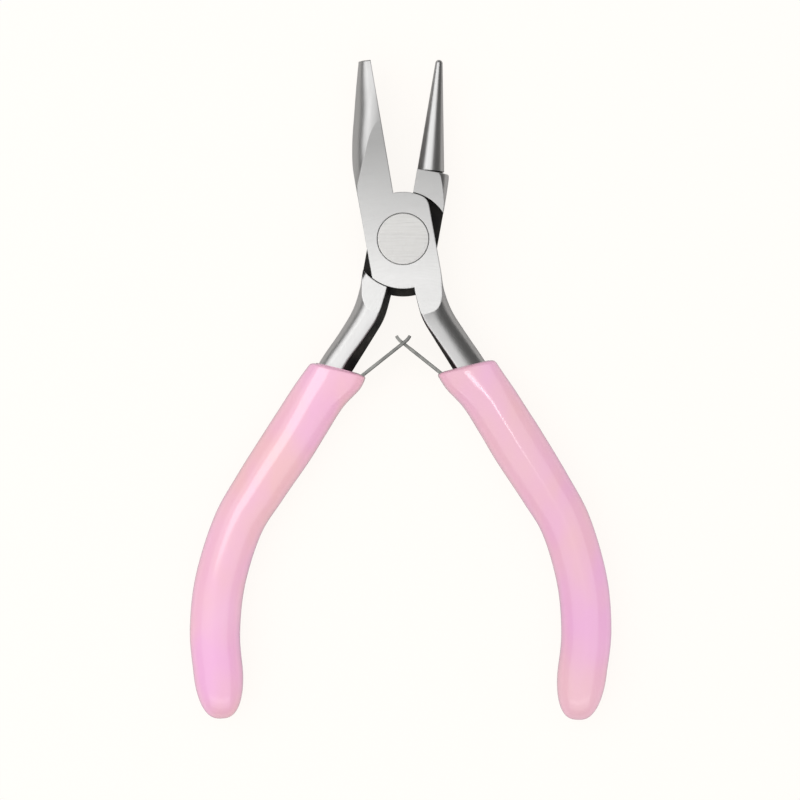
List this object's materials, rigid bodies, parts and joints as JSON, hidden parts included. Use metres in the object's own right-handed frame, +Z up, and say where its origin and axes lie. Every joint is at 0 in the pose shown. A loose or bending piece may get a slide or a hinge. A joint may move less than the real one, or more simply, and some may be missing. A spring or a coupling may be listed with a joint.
{
  "type": "jewellery pliers",
  "caption": "Small jewellery pliers with a flat jaw facing a round jaw, a riveted lap joint, crossed leaf springs and dipped vinyl grips.",
  "frame": {"origin": "where the pivot axis meets the surface that the tool lies on", "axes": "+Z up along the pivot axis, +Y towards the jaws, +X to the right"},
  "size_m": [0.08, 0.1254, 0.009],
  "materials": {
    "steel": "ground flat faces, polished jaws, black oxide in the lap and inside the handles",
    "spring_steel": "plain spring strip",
    "vinyl": "glossy pearl pink dipped vinyl"
  },
  "bodies": {
    "front": {"front_half": "steel", "pivot_rivet": "steel", "grip_right": "vinyl", "spring_foot_right": "spring_steel", "spring_rivet_right": "spring_steel"},
    "back": {"back_half": "steel", "grip_left": "vinyl", "spring_foot_left": "spring_steel", "spring_rivet_left": "spring_steel"},
    "right_blade": {"spring_leaf_right": "spring_steel"},
    "left_blade": {"spring_leaf_left": "spring_steel"}
  },
  "joints": [
    {"name": "pivot", "type": "hinge", "parent": "front", "child": "back", "pos_m": [0, 0, 0.0045], "axis": [0, 0, 1], "range_deg": [0, 20.5], "stiffness_Nm_per_rad": 0.8},
    {"name": "right_blade_bend", "type": "hinge", "parent": "front", "child": "right_blade", "pos_m": [0.00811, -0.02604, 0.0045], "axis": [0, 0, -1], "range_deg": [0, 22.6]},
    {"name": "left_blade_bend", "type": "hinge", "parent": "back", "child": "left_blade", "pos_m": [-0.00811, -0.02604, 0.0045], "axis": [0, 0, 1], "range_deg": [0, 22.6]}
  ],
  "couplings": [
    {"joint": "right_blade_bend", "follows": "pivot", "ratio": 1.0943},
    {"joint": "left_blade_bend", "follows": "pivot", "ratio": 1.0943}
  ]
}
